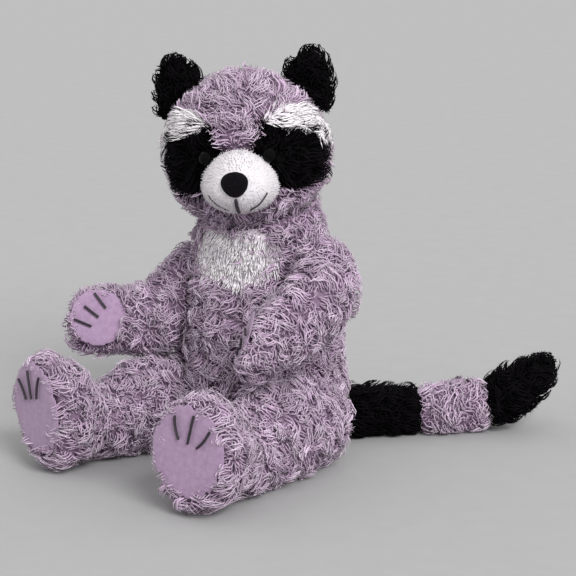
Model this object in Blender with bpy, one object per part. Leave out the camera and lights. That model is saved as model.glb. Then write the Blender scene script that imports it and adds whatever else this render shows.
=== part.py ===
"""A seated plush raccoon: curly pile body, black mask, suede pads and a ringed tail.

The torso faces -Y, the raccoon's left is +X, and the origin is the middle of the seat.
Each stuffed piece is a skin over elliptical rings, raised into short tufts of pile.
"""

import math
import random

import bmesh
import bpy
import numpy as np
from mathutils import Matrix, Vector
from mathutils.bvhtree import BVHTree

MM = 0.001
UP = Vector((0, 0, 1))
FORWARD = Vector((0, -1, 0))
LEFT = Vector((1, 0, 0))

# Clearance between two pieces
GAP = 0.3 * MM

# Torso: half sizes at the seat, hips, waist, shoulders and neck
SEAT_HALF_WIDTH = 41 * MM
SEAT_HALF_DEPTH = 36 * MM
HIP_HALF_WIDTH = 51 * MM
HIP_HALF_DEPTH = 46 * MM
HIP_HEIGHT = 26 * MM
WAIST_HALF_WIDTH = 48 * MM
WAIST_HALF_DEPTH = 43 * MM
WAIST_HEIGHT = 76 * MM
SHOULDER_HALF_WIDTH = 43 * MM
SHOULDER_HALF_DEPTH = 36 * MM
SHOULDER_HEIGHT = 128 * MM
NECK_HALF_WIDTH = 38 * MM
NECK_HALF_DEPTH = 33 * MM
NECK_HEIGHT = 156 * MM
NECK_LEAN = -5 * MM
NECK_ROOT = 10 * MM
NECK_DOME = 3 * MM
TORSO_SQUARENESS = 2.2

# Head: an upright egg, turned towards its left and tilted
HEAD_CENTRE = Vector((1, -18, 196)) * MM
HEAD_HALF_WIDTH = 51 * MM
HEAD_HALF_DEPTH = 45 * MM
HEAD_HALF_HEIGHT = 47 * MM
HEAD_TURN = math.radians(34)
HEAD_TILT = math.radians(4)

# Muzzle: a flattened cone out of the lower face, and the pad and thread on it
MUZZLE_DROP = 11 * MM
MUZZLE_ROOT = 26 * MM
MUZZLE_MIDDLE = 44 * MM
MUZZLE_REACH = 66 * MM
MUZZLE_HALF_WIDTH = 24.5 * MM
MUZZLE_HALF_HEIGHT = 21.5 * MM
MUZZLE_NARROWING = 0.18
NOSE_HALF_WIDTH = 8.6 * MM
NOSE_HALF_HEIGHT = 8.2 * MM
NOSE_THICKNESS = 5 * MM
NOSE_RISE = 1 * MM
NOSE_NARROWING = -0.16
THREAD_RADIUS = 0.8 * MM
SMILE_RADIUS = 0.5 * MM
MOUTH_TOP = math.radians(-22.5)
MOUTH_BOTTOM = math.radians(-62)
SMILE_INNER_TURN = math.radians(36)
SMILE_INNER_RISE = math.radians(-57)
SMILE_OUTER_TURN = math.radians(56)
SMILE_OUTER_RISE = math.radians(-15)

# Eyes: places as turns away from straight ahead, and the moulding's sizes
EYE_TURN = math.radians(24.5)
EYE_RISE = math.radians(4)
EYE_RADIUS = 4.7 * MM
EYE_STAND = 4.2 * MM
EYE_RIM = 0.8 * MM
EYE_LIFT = 0.9 * MM
STEM_RADIUS = 1.6 * MM
STEM_LENGTH = 11 * MM
WASHER_RADIUS = 6 * MM
WASHER_THICKNESS = 1.5 * MM
WASHER_DEPTH = 7 * MM

# Ears
EAR_SIDE = 35.3 * MM
EAR_BACK = 5 * MM
EAR_RISE = 24 * MM
EAR_HEIGHT = 37 * MM
EAR_HALF_WIDTH = 19 * MM
EAR_HALF_THICKNESS = 6.5 * MM
EAR_SPLAY = math.radians(15)
EAR_LEAN = 3 * MM

# Insets of coloured pile, placed by turn and rise from the head's middle
PATCH_DEPTH = 4.2 * MM
PATCH_SINK = 1.8 * MM
MASK_TURN = math.radians(50)
MASK_RISE = math.radians(-2)
MASK_HALF_TURN = math.radians(35)
MASK_HALF_RISE = math.radians(21)
MASK_SLANT = math.radians(4)
BROW_TURN = math.radians(58)
BROW_RISE = math.radians(29)
BROW_HALF_TURN = math.radians(35)
BROW_HALF_RISE = math.radians(8)
BROW_SLANT = math.radians(5)
BROW_BOW = math.radians(11)

# Arms
LEFT_SHOULDER = Vector((46, -2, 126)) * MM
RIGHT_SHOULDER = Vector((-41, -4, 112)) * MM
LEFT_ELBOW = Vector((64, -24, 109)) * MM
LEFT_PAW = Vector((55, -65, 89)) * MM
LEFT_PAW_TIP = Vector((48, -86, 80)) * MM
RIGHT_ELBOW = Vector((-56, -33, 84)) * MM
RIGHT_PAW = Vector((-85, -66, 83)) * MM
RIGHT_PAW_TIP = Vector((-97, -77, 84)) * MM
RIGHT_PALM_FACING = Vector((0.71, -0.63, 0.31))
PAW_TWIST = math.radians(-35)
FINGER_INNER = 7.3 * MM
FINGER_OUTER = 10.5 * MM
FINGER_LENGTH = 11.5 * MM
ARM_HALF_SHOULDER = 21 * MM
ARM_HALF_ELBOW = 19 * MM
ARM_FULLNESS = 1.2
SHOULDER_ROOT = 8 * MM
PAW_HALF_HEIGHT = 20 * MM
PAW_HALF_THICKNESS = 15 * MM
PALM_RADIUS = 18.8 * MM
PALM_LEVEL = 0.74
PALM_ROOM = 30 * MM
SUEDE_THICKNESS = 1.8 * MM

# Legs
HIP = Vector((43, -4, 31)) * MM
LEFT_SOLE = Vector((61, -139, 38.5)) * MM
RIGHT_SOLE = Vector((-71, -134, 38.5)) * MM
THIGH_HALF_WIDTH = 29 * MM
THIGH_HALF_HEIGHT = 29 * MM
HIP_ROOT = 16 * MM
ANKLE_HALF_WIDTH = 20.5 * MM
ANKLE_HALF_HEIGHT = 18.5 * MM
FOOT_HALF_WIDTH = 28 * MM
FOOT_HALF_HEIGHT = 36.5 * MM
FOOT_ROLL = math.radians(14)
SOLE_HALF_WIDTH = 27 * MM
SOLE_HALF_HEIGHT = 32.5 * MM
SOLE_PAD_SHARE = 0.96
SOLE_PAD_RISE = 3 * MM
SOLE_PAD_INSET = 1.5 * MM
TOE_START = 6 * MM
TOE_END = 24 * MM
TOE_STEP = 5 * MM
TOE_BEND = 0.06
TOE_INNER = 6.5 * MM
TOE_OUTER = 12.5 * MM

# Tail: three bands along a curve that starts inside the torso's back
TAIL_ROOT = Vector((8, 24, 17)) * MM
TAIL_BEND = Vector((42, 68, 15)) * MM
TAIL_MIDDLE = Vector((76, 104, 16)) * MM
TAIL_RISE = Vector((101, 130, 24)) * MM
TAIL_TIP = Vector((121, 152, 48)) * MM
TAIL_HALF = 15.5 * MM
TAIL_LENGTH = 170 * MM
TAIL_START = 0.02
TAIL_BASE_END = 0.37
TAIL_MIDDLE_END = 0.635
TAIL_TAPER_START = 0.75
TAIL_POINT = 0.08

# Bib: its place round the chest and up it
BIB_TURN = math.radians(5)
BIB_HALF_TURN = math.radians(52)
BIB_DROP = 21 * MM
BIB_HALF_HEIGHT = 17 * MM

# Pile: tuft height over the cloth and how far its tip is combed over
PILE = 5.5 * MM
PILE_LEAN = 0.55
SHORT_PILE = 3.2 * MM
LIMB_PILE = 4.5 * MM
TAIL_PILE = 4.2 * MM
NEIGHBOUR_SHARE = 0.42
LOWEST_TUFT = 0.4 * MM
SOLE_LEVEL = 1 * MM

# Length of the rays that find a surface, longer than any piece is thick
SEARCH = 0.2

HANDS = {"left": 1, "right": -1}

# Finishes whose tufts stay faceted, and the angle from which an edge of the other pieces is sharp
PILE_FINISHES = ("grey_pile", "white_pile", "black_pile")
SHARP_ANGLE = math.radians(50)

dice = random.Random(7)
materials = {}


def clear_scene():
    for thing in list(bpy.data.objects):
        bpy.data.objects.remove(thing, do_unlink=True)


def paint(name, colour, roughness):
    made = bpy.data.materials.new(name)
    made.use_nodes = True
    shader = made.node_tree.nodes["Principled BSDF"]
    shader.inputs["Base Color"].default_value = (*colour, 1)
    shader.inputs["Roughness"].default_value = roughness
    shader.inputs["Metallic"].default_value = 0
    made.diffuse_color = (*colour, 1)
    materials[name] = made


def smooth(t):
    return t * t * (3 - 2 * t)


def curve_through(points, t):
    """The point at t, 0 to 1, on a Catmull-Rom curve through evenly timed points."""
    spans = len(points) - 1
    span = min(int(t * spans), spans - 1)
    f = t * spans - span
    a = points[max(span - 1, 0)]
    b = points[span]
    c = points[span + 1]
    d = points[min(span + 2, spans)]
    return (
        b * 2 + (c - a) * f + (a * 2 - b * 5 + c * 4 - d) * f**2 + (b * 3 - a - c * 3 + d) * f**3
    ) * 0.5


class Ring:
    """One elliptical section: a centre, two half axes and how square it is."""

    def __init__(self, centre, side, up, square=2.0, floor=None):
        self.centre = centre
        self.side = side
        self.up = up
        self.square = square
        self.floor = floor

    def point(self, angle):
        c = math.cos(angle)
        s = math.sin(angle)
        power = 2 / self.square
        x = math.copysign(abs(c) ** power, c)
        y = math.copysign(abs(s) ** power, s)
        p = self.centre + self.side * x + self.up * y
        if self.floor is not None:
            p.z = max(p.z, self.floor)
        return p


def skin(rings, columns, start=None, end=None, twist=0.5):
    """A closed mesh over rings, each end a point, or flat where none is given."""
    mesh = bmesh.new()
    rows = []
    for number, ring in enumerate(rings):
        shift = twist * (number % 2)
        turns = [(k + shift) * math.tau / columns for k in range(columns)]
        rows.append([mesh.verts.new(ring.point(turn)) for turn in turns])
    for number in range(len(rows) - 1):
        low = rows[number]
        high = rows[number + 1]
        slide = number % 2 if twist else 0
        for k in range(columns):
            after = (k + 1) % columns
            a = high[(k + slide) % columns]
            b = high[(after + slide) % columns]
            mesh.faces.new((low[k], low[after], b, a))
    for row, tip, turned in ((rows[0], start, True), (rows[-1], end, False)):
        if tip is None:
            tip = sum((v.co for v in row), Vector()) / columns
        peak = mesh.verts.new(tip)
        for k in range(columns):
            pair = (row[k], row[(k + 1) % columns])
            mesh.faces.new((*(reversed(pair) if turned else pair), peak))
    bmesh.ops.recalc_face_normals(mesh, faces=mesh.faces)
    mesh.normal_update()
    return mesh


def grown(mesh, by):
    """A copy with each vertex moved out along its normal."""
    bigger = mesh.copy()
    bigger.normal_update()
    for v in bigger.verts:
        v.co += v.normal * by
    return bigger


def add_object(name, mesh, material=None):
    data = bpy.data.meshes.new(name)
    mesh.to_mesh(data)
    mesh.free()
    if material:
        data.materials.append(materials[material])
    if material not in PILE_FINISHES:
        shade_round(data)
    made = bpy.data.objects.new(name, data)
    bpy.context.scene.collection.objects.link(made)
    return made


def shade_round(data):
    data.shade_smooth()
    data.set_sharp_from_angle(angle=SHARP_ANGLE)


def cut(body, cutters):
    """Takes each cutter's mesh out of the body, and leaves a plain mesh."""
    for cutter in cutters:
        tool = add_object("cutter", cutter)
        step = body.modifiers.new("cut", "BOOLEAN")
        step.operation = "DIFFERENCE"
        step.solver = "EXACT"
        step.use_self = True
        step.object = tool
        graph = bpy.context.evaluated_depsgraph_get()
        result = bpy.data.meshes.new_from_object(body.evaluated_get(graph))
        body.modifiers.clear()
        old = body.data
        body.data = result
        bpy.data.meshes.remove(old)
        bpy.data.objects.remove(tool, do_unlink=True)
    keep_largest(body.data)


def keep_largest(data):
    """Drops the crumbs a cut leaves beside the main body."""
    mesh = bmesh.new()
    mesh.from_mesh(data)
    left = set(mesh.faces)
    bodies = []
    while left:
        edge = [left.pop()]
        body = set(edge)
        while edge:
            near = {f for face in edge for e in face.edges for f in e.link_faces} & left
            left -= near
            body |= near
            edge = list(near)
        bodies.append(body)
    bodies.sort(key=len)
    crumbs = [face for body in bodies[:-1] for face in body]
    bmesh.ops.delete(mesh, geom=crumbs, context="FACES")
    loose = [v for v in mesh.verts if not v.link_faces]
    bmesh.ops.delete(mesh, geom=loose, context="VERTS")
    mesh.to_mesh(data)
    mesh.free()


def tree_of(mesh):
    return BVHTree.FromBMesh(mesh)


def raise_pile(mesh, height, comb, neighbours, bare=None):
    """Raises a leaning tuft from each face, lower near a neighbour and none on the floor."""
    mesh.normal_update()
    for face in list(mesh.faces):
        middle = face.calc_center_median()
        normal = face.normal.copy()
        if normal.z < -0.9 and middle.z < SOLE_LEVEL:
            continue
        tall = height * dice.uniform(0.75, 1.25)
        for tree in neighbours:
            spot = tree.find_nearest(middle)
            if spot[0] is None:
                continue
            away = spot[3]
            if (middle - spot[0]).dot(spot[1]) < 0:
                away = 0
            tall = min(tall, away * NEIGHBOUR_SHARE - GAP)
        if bare and bare(middle):
            tall = 0
        if tall < LOWEST_TUFT:
            continue
        flow = comb(middle, normal)
        flow = flow - normal * flow.dot(normal)
        reach = tall * PILE_LEAN * dice.uniform(0.7, 1.3)
        tip = middle + normal * tall + flow * reach
        tip.z = max(tip.z, middle.z * 0.5)
        corners = list(face.verts)
        peak = mesh.verts.new(tip)
        mesh.faces.remove(face)
        for k in range(len(corners)):
            mesh.faces.new((corners[k], corners[(k + 1) % len(corners)], peak))
    mesh.normal_update()


def along(a, b, t):
    return a + (b - a) * t


def between(knots, t):
    """Smooth value at t from (t, value) pairs in order."""
    for (t0, v0), (t1, v1) in zip(knots, knots[1:]):
        if t <= t1:
            return v0 + (v1 - v0) * smooth((t - t0) / (t1 - t0))
    return knots[-1][1]


def torso_form():
    sizes = (
        (0, SEAT_HALF_WIDTH, SEAT_HALF_DEPTH),
        (HIP_HEIGHT, HIP_HALF_WIDTH, HIP_HALF_DEPTH),
        (WAIST_HEIGHT, WAIST_HALF_WIDTH, WAIST_HALF_DEPTH),
        (SHOULDER_HEIGHT, SHOULDER_HALF_WIDTH, SHOULDER_HALF_DEPTH),
        (NECK_HEIGHT, NECK_HALF_WIDTH, NECK_HALF_DEPTH),
    )
    widths = [(height, width) for height, width, depth in sizes]
    depths = [(height, depth) for height, width, depth in sizes]
    rows = 13
    top = NECK_HEIGHT + NECK_ROOT
    rings = []
    for row in range(rows + 1):
        t = row / rows
        height = top * t * (0.55 + 0.45 * t)
        middle = Vector((0, NECK_LEAN * smooth(min(height / NECK_HEIGHT, 1)), height))
        side = LEFT * between(widths, height)
        back = -FORWARD * between(depths, height)
        rings.append(Ring(middle, side, back, square=TORSO_SQUARENESS))
    return skin(rings, 24, end=rings[-1].centre + UP * NECK_DOME)


HEAD_FRAME = (
    Matrix.Translation(HEAD_CENTRE)
    @ Matrix.Rotation(HEAD_TURN, 4, "Z")
    @ Matrix.Rotation(-HEAD_TILT, 4, "Y")
)


def in_head(x, y, z):
    """World place of a point given from the head's middle: left, forward and up."""
    return HEAD_FRAME @ Vector((x, -y, z))


def head_way(turn, rise):
    """World direction out of the head, turned to its left and raised."""
    flat = math.cos(rise)
    local = Vector((math.sin(turn) * flat, -math.cos(turn) * flat, math.sin(rise)))
    return (HEAD_FRAME.to_3x3() @ local).normalized()


def head_form():
    rows = 12
    side = head_way(math.pi / 2, 0)
    back = -head_way(0, 0)
    up = head_way(0, math.pi / 2)
    rings = []
    for row in range(1, rows):
        rise = -math.pi / 2 + math.pi * row / rows
        wide = math.cos(rise) ** 0.9
        centre = HEAD_CENTRE + up * HEAD_HALF_HEIGHT * math.sin(rise)
        rings.append(Ring(centre, side * HEAD_HALF_WIDTH * wide, back * HEAD_HALF_DEPTH * wide))
    low = HEAD_CENTRE - up * HEAD_HALF_HEIGHT
    high = HEAD_CENTRE + up * HEAD_HALF_HEIGHT
    return skin(rings, 24, start=low, end=high)


class PearRing(Ring):
    """A section that narrows towards its top, or widens where the share is negative."""

    def __init__(self, centre, side, up, narrowing):
        super().__init__(centre, side, up)
        self.narrowing = narrowing

    def point(self, angle):
        x = math.cos(angle)
        y = math.sin(angle)
        return self.centre + self.side * x * (1 - self.narrowing * y) + self.up * y


def muzzle_form():
    rows = 8
    side = head_way(math.pi / 2, 0)
    ahead = head_way(0, 0)
    up = head_way(0, math.pi / 2)
    root = in_head(0, MUZZLE_ROOT, -MUZZLE_DROP)
    length = MUZZLE_REACH - MUZZLE_ROOT
    rings = []
    for row in range(rows):
        t = row / rows
        full = math.sqrt(1 - t**2.6)
        centre = root + ahead * length * t
        rings.append(
            PearRing(
                centre,
                side * MUZZLE_HALF_WIDTH * full,
                up * MUZZLE_HALF_HEIGHT * full,
                MUZZLE_NARROWING,
            )
        )
    return skin(rings, 20, end=root + ahead * length)


def nose_form(muzzle_tree):
    ahead = head_way(0, 0)
    side = head_way(math.pi / 2, 0)
    up = head_way(0, math.pi / 2)
    start = in_head(0, SEARCH, NOSE_RISE - MUZZLE_DROP)
    front = muzzle_tree.ray_cast(start, -ahead)[0]
    root = front - ahead * NOSE_THICKNESS * 0.7
    rings = []
    rows = 5
    for row in range(rows):
        t = row / rows
        full = math.sqrt(1 - t**3) if row else 0.9
        centre = root + ahead * NOSE_THICKNESS * 1.25 * t
        wide = side * NOSE_HALF_WIDTH * full
        rings.append(PearRing(centre, wide, up * NOSE_HALF_HEIGHT * full, NOSE_NARROWING))
    return skin(rings, 16, end=root + ahead * NOSE_THICKNESS * 1.25)


def thread(tree, places, radius=THREAD_RADIUS, sides=6):
    """A round thread laid on a surface: each place is a ray's start and its direction."""
    lift = 1.6 * GAP + radius
    path = []
    for start, way in places:
        spot, normal, _, _ = tree.ray_cast(start, way)
        if spot is not None:
            path.append(spot + (normal - way).normalized() * lift)
    rings = []
    for number, spot in enumerate(path):
        ahead = path[min(number + 1, len(path) - 1)] - path[max(number - 1, 0)]
        ahead.normalize()
        side = ahead.orthogonal().normalized()
        if rings:
            old = rings[-1].side.normalized()
            side = (old - ahead * old.dot(ahead)).normalized()
        rings.append(Ring(spot, side * radius, ahead.cross(side) * radius))
    return skin(rings, sides, twist=0)


def ear_form(hand):
    """hand is 1 for the raccoon's left ear, -1 for its right."""
    base = in_head(hand * EAR_SIDE, -EAR_BACK, EAR_RISE)
    lean = hand * EAR_SPLAY
    up = head_way(hand * math.pi / 2, math.pi / 2 - abs(lean))
    side = head_way(hand * math.pi / 2, -abs(lean))
    ahead = head_way(0, 0)
    rows = 8
    rings = []
    for row in range(rows):
        t = row / rows
        full = (1 - t**2.1) ** 0.62
        centre = base + up * EAR_HEIGHT * t - ahead * EAR_LEAN * t
        rings.append(
            Ring(centre, side * EAR_HALF_WIDTH * full, ahead * EAR_HALF_THICKNESS * full**0.6)
        )
    return skin(rings, 12, end=base + up * EAR_HEIGHT - ahead * EAR_LEAN)


def inset(tree, place, columns, rows, sink, depth, edge=0.35):
    """A pad on a surface. place gives a ray for an angle and a share of the way out."""
    mesh = bmesh.new()
    below = []
    above = []
    for row in range(rows + 1):
        share = row / rows
        low = []
        high = []
        for k in range(columns if row else 1):
            start, way = place(k * math.tau / columns, share)
            spot = tree.ray_cast(start, way)[0]
            out = -way.normalized()
            full = edge + (1 - edge) * math.sqrt(max(0, 1 - share**4))
            low.append(mesh.verts.new(spot - out * sink))
            high.append(mesh.verts.new(spot + out * (GAP + depth * full)))
        below.append(low)
        above.append(high)
    for sheet in (below, above):
        for k in range(columns):
            after = (k + 1) % columns
            mesh.faces.new((sheet[0][0], sheet[1][k], sheet[1][after]))
            for row in range(1, rows):
                inner = sheet[row]
                outer = sheet[row + 1]
                mesh.faces.new((inner[k], outer[k], outer[after], inner[after]))
    for k in range(columns):
        after = (k + 1) % columns
        mesh.faces.new((below[-1][k], below[-1][after], above[-1][after], above[-1][k]))
    bmesh.ops.recalc_face_normals(mesh, faces=mesh.faces)
    mesh.normal_update()
    return mesh


def face_inset(tree, hand, turn, rise, half_turn, half_rise, slant, bow, columns, rows):
    """A pile inset on the head, placed and sized by angles from its middle."""

    def place(angle, share):
        across = math.copysign(abs(math.cos(angle)) ** 0.85, math.cos(angle)) * share
        over = math.copysign(abs(math.sin(angle)) ** 0.85, math.sin(angle)) * share
        a = turn + half_turn * across
        b = rise + half_rise * over - slant * across - bow * across**2
        way = head_way(hand * a, b)
        return HEAD_CENTRE + way * SEARCH, -way

    return inset(tree, place, columns, rows, PATCH_SINK, PATCH_DEPTH)


def bib_form(tree):
    def place(angle, share):
        turn = BIB_TURN + BIB_HALF_TURN * math.cos(angle) * share
        height = NECK_HEIGHT - BIB_DROP + BIB_HALF_HEIGHT * math.sin(angle) * share
        way = Vector((math.sin(turn), -math.cos(turn), 0))
        return Vector((0, NECK_LEAN, height)) + way * SEARCH, -way

    return inset(tree, place, 16, 3, PATCH_SINK, PATCH_DEPTH)


def eye_axis(head_tree, hand):
    way = head_way(hand * EYE_TURN, EYE_RISE)
    spot = head_tree.ray_cast(HEAD_CENTRE + way * SEARCH, -way)[0]
    return spot, (way * 0.6 + head_way(hand * EYE_TURN * 0.5, 0) * 0.4).normalized()


def lathe(profile, base, axis, columns):
    """Turns (radius, height) pairs about an axis, pointed at both ends."""
    side = axis.orthogonal().normalized()
    up = axis.cross(side)
    rings = [Ring(base + axis * h, side * r, up * r) for r, h in profile[1:-1]]
    low = base + axis * profile[0][1]
    high = base + axis * profile[-1][1]
    return skin(rings, columns, start=low, end=high, twist=0)


def eye_form(spot, axis):
    profile = [
        (0, -STEM_LENGTH),
        (STEM_RADIUS, -STEM_LENGTH),
        (STEM_RADIUS, EYE_LIFT),
        (EYE_RADIUS * 0.96, EYE_LIFT),
    ]
    steps = 4
    for step in range(steps):
        turn = math.pi / 2 * step / steps
        rise = EYE_LIFT + EYE_RIM + EYE_STAND * math.sin(turn)
        profile.append((EYE_RADIUS * math.cos(turn), rise))
    profile.append((0, EYE_LIFT + EYE_RIM + EYE_STAND))
    return lathe(profile, spot, axis, 14)


def eye_clearing(spot, axis):
    """A plug the size of the moulding, for the pile and the muzzle to clear it."""
    wide = EYE_RADIUS + 2 * GAP
    low = -2 * PATCH_SINK
    high = EYE_STAND * 3
    return lathe([(0, low), (wide, low), (wide, high), (0, high)], spot, axis, 14)


def washer_form(spot, axis):
    side = axis.orthogonal().normalized()
    up = axis.cross(side)
    inner = STEM_RADIUS + GAP
    high = -WASHER_DEPTH
    low = high - WASHER_THICKNESS
    mesh = bmesh.new()
    loop = ((inner, low), (WASHER_RADIUS, low), (WASHER_RADIUS, high), (inner, high))
    columns = 16
    rows = []
    for k in range(columns):
        turn = k * math.tau / columns
        out = side * math.cos(turn) + up * math.sin(turn)
        rows.append([mesh.verts.new(spot + out * r + axis * h) for r, h in loop])
    for k in range(columns):
        here = rows[k]
        after = rows[(k + 1) % columns]
        for j in range(len(loop)):
            i = (j + 1) % len(loop)
            mesh.faces.new((here[j], after[j], after[i], here[i]))
    bmesh.ops.recalc_face_normals(mesh, faces=mesh.faces)
    return mesh


def eye_pocket(spot, axis):
    """The stem's hole into the head and the room for its washer."""
    hole = STEM_RADIUS + 2 * GAP
    room = WASHER_RADIUS + GAP
    low = -WASHER_DEPTH - WASHER_THICKNESS - GAP
    high = -WASHER_DEPTH + GAP
    deep = -STEM_LENGTH - GAP
    profile = [(0, deep), (hole, deep), (hole, low), (room, low), (room, high), (hole, high)]
    clear = PATCH_DEPTH
    profile += [(hole, clear), (0, clear)]
    return lathe(profile, spot, axis, 16)


def mirrored(point):
    return Vector((-point.x, point.y, point.z))


def arm_axes(path, t, facing):
    """Tangent, palm side and edge of the arm at t."""
    ahead = (curve_through(path, min(t + 0.02, 1)) - curve_through(path, max(t - 0.02, 0))).normalized()
    side = (facing - ahead * facing.dot(ahead)).normalized()
    return ahead, side, ahead.cross(side)


def arm_form(path, facing):
    """path runs from the shoulder through the elbow and the paw's middle to its tip."""
    rows = 12
    thick = (
        (0, ARM_HALF_SHOULDER),
        (0.33, ARM_HALF_ELBOW),
        (0.66, PAW_HALF_THICKNESS),
        (1, PAW_HALF_THICKNESS),
    )
    tall = (
        (0, ARM_HALF_SHOULDER * ARM_FULLNESS),
        (0.33, ARM_HALF_ELBOW * ARM_FULLNESS),
        (0.6, PAW_HALF_HEIGHT * 0.94),
        (0.7, PAW_HALF_HEIGHT),
        (1, PAW_HALF_HEIGHT),
    )
    rounding = 0.32
    rings = []
    for row in range(rows):
        t = 1 - (1 - row / rows) ** 1.15
        past = max(0, (t - 1 + rounding) / rounding)
        full = math.sqrt(max(0, 1 - past**3))
        ahead, side, edge = arm_axes(path, t, facing)
        rings.append(
            Ring(
                curve_through(path, t),
                side * between(thick, t) * full,
                edge * between(tall, t) * full,
                square=2 + 1.2 * smooth(t),
            )
        )
    ahead, side, edge = arm_axes(path, 0, facing)
    return skin(rings, 12, start=path[0] - ahead * SHOULDER_ROOT, end=path[-1])


def pad_form(middle, facing, across, over, reach=None):
    """A domed disc on a flat base. With a reach it is a straight plug that long instead."""
    rows = 2
    columns = 18
    rings = [Ring(middle, across, over)]
    if reach:
        rings.append(Ring(middle + facing * reach, across, over))
        return skin(rings, columns, twist=0)
    for row in range(rows):
        turn = math.pi / 2 * row / rows
        share = 1 - 0.12 * math.sin(turn) - 0.55 * (row / rows) ** 2
        lift = facing * SUEDE_THICKNESS * (0.45 + 0.55 * math.sin(turn))
        rings.append(Ring(middle + lift, across * share, over * share))
    return skin(rings, columns, end=middle + facing * SUEDE_THICKNESS, twist=0)


def leg_form(hip, sole, hand):
    """A level leg that rests on the floor along its length and ends in an upright foot."""
    flat = Vector((sole.x - hip.x, sole.y - hip.y, 0))
    ahead = flat.normalized()
    outward = ahead.cross(UP) * -hand
    widths = (
        (0, THIGH_HALF_WIDTH),
        (0.3, THIGH_HALF_WIDTH),
        (0.66, ANKLE_HALF_WIDTH),
        (0.92, FOOT_HALF_WIDTH),
        (1, SOLE_HALF_WIDTH),
    )
    heights = (
        (0, THIGH_HALF_HEIGHT),
        (0.4, THIGH_HALF_HEIGHT),
        (0.68, ANKLE_HALF_HEIGHT),
        (0.93, FOOT_HALF_HEIGHT),
        (1, SOLE_HALF_HEIGHT),
    )
    rows = 12
    rings = []
    for row in range(rows + 1):
        t = row / rows
        high = between(heights, t)
        roll = FOOT_ROLL * smooth(t)
        up = UP * math.cos(roll) + outward * math.sin(roll)
        side = outward * math.cos(roll) - UP * math.sin(roll)
        centre = along(hip, sole, t)
        centre.z = along(high, sole.z, smooth(t) ** 4)
        rings.append(Ring(centre, side * between(widths, t), up * high, floor=0))
    return skin(rings, 14, start=hip - ahead * HIP_ROOT)


def leg_axes(hip, sole, hand):
    """The way the sole faces, out to the leg's side, and up the foot."""
    ahead = Vector((sole.x - hip.x, sole.y - hip.y, 0)).normalized()
    outward = ahead.cross(UP) * -hand
    up = UP * math.cos(FOOT_ROLL) + outward * math.sin(FOOT_ROLL)
    side = outward * math.cos(FOOT_ROLL) - UP * math.sin(FOOT_ROLL)
    return ahead, side, up


def tail_form(begin, end):
    """One band of the tail, from one share of its curve to another, cut square."""
    path = [TAIL_ROOT, TAIL_BEND, TAIL_MIDDLE, TAIL_RISE, TAIL_TIP]
    rows = 6
    rings = []
    pointed = end == 1
    for row in range(rows if pointed else rows + 1):
        t = along(begin, end, row / rows)
        ahead = (curve_through(path, min(t + 0.01, 1)) - curve_through(path, t - 0.01)).normalized()
        side = ahead.cross(UP).normalized()
        up = side.cross(ahead)
        full = TAIL_HALF
        if t > TAIL_TAPER_START:
            past = (t - TAIL_TAPER_START) / (1 - TAIL_TAPER_START)
            full *= along(1 - past**1.7, 1, TAIL_POINT)
        rings.append(Ring(curve_through(path, t), side * full, up * full, floor=0))
    return skin(rings, 14, end=path[-1] if pointed else None)


def comb_down(middle, normal):
    return Vector((dice.uniform(-0.5, 0.5), dice.uniform(-0.5, 0.5), -1)).normalized()


def comb_up(middle, normal):
    return Vector((dice.uniform(-0.5, 0.5), dice.uniform(-0.5, 0.5), 1)).normalized()


def comb_head(middle, normal):
    """Up on the brow and crown, down on the cheeks and the back."""
    local = HEAD_FRAME.inverted() @ middle
    crown = local.z > 8 * MM and local.y < 10 * MM
    return comb_up(middle, normal) if crown else comb_down(middle, normal)


def comb_along(way):
    def comb(middle, normal):
        stray = Vector((dice.uniform(-0.6, 0.6), dice.uniform(-0.6, 0.6), dice.uniform(-0.8, 0.4)))
        return (way + stray).normalized()

    return comb


def stitch(name, tree, middle, facing, first, last, bend=0.0):
    """A thread over a pad from one point to another, bowed sideways by a share of its length."""
    places = []
    steps = 5
    sideways = (last - first).cross(facing) * bend
    for step in range(steps + 1):
        t = step / steps
        spot = middle + along(first, last, t) + sideways * 4 * t * (1 - t)
        places.append((spot + facing * SEARCH, -facing))
    add_object(name, thread(tree, places), "black_thread")


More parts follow.
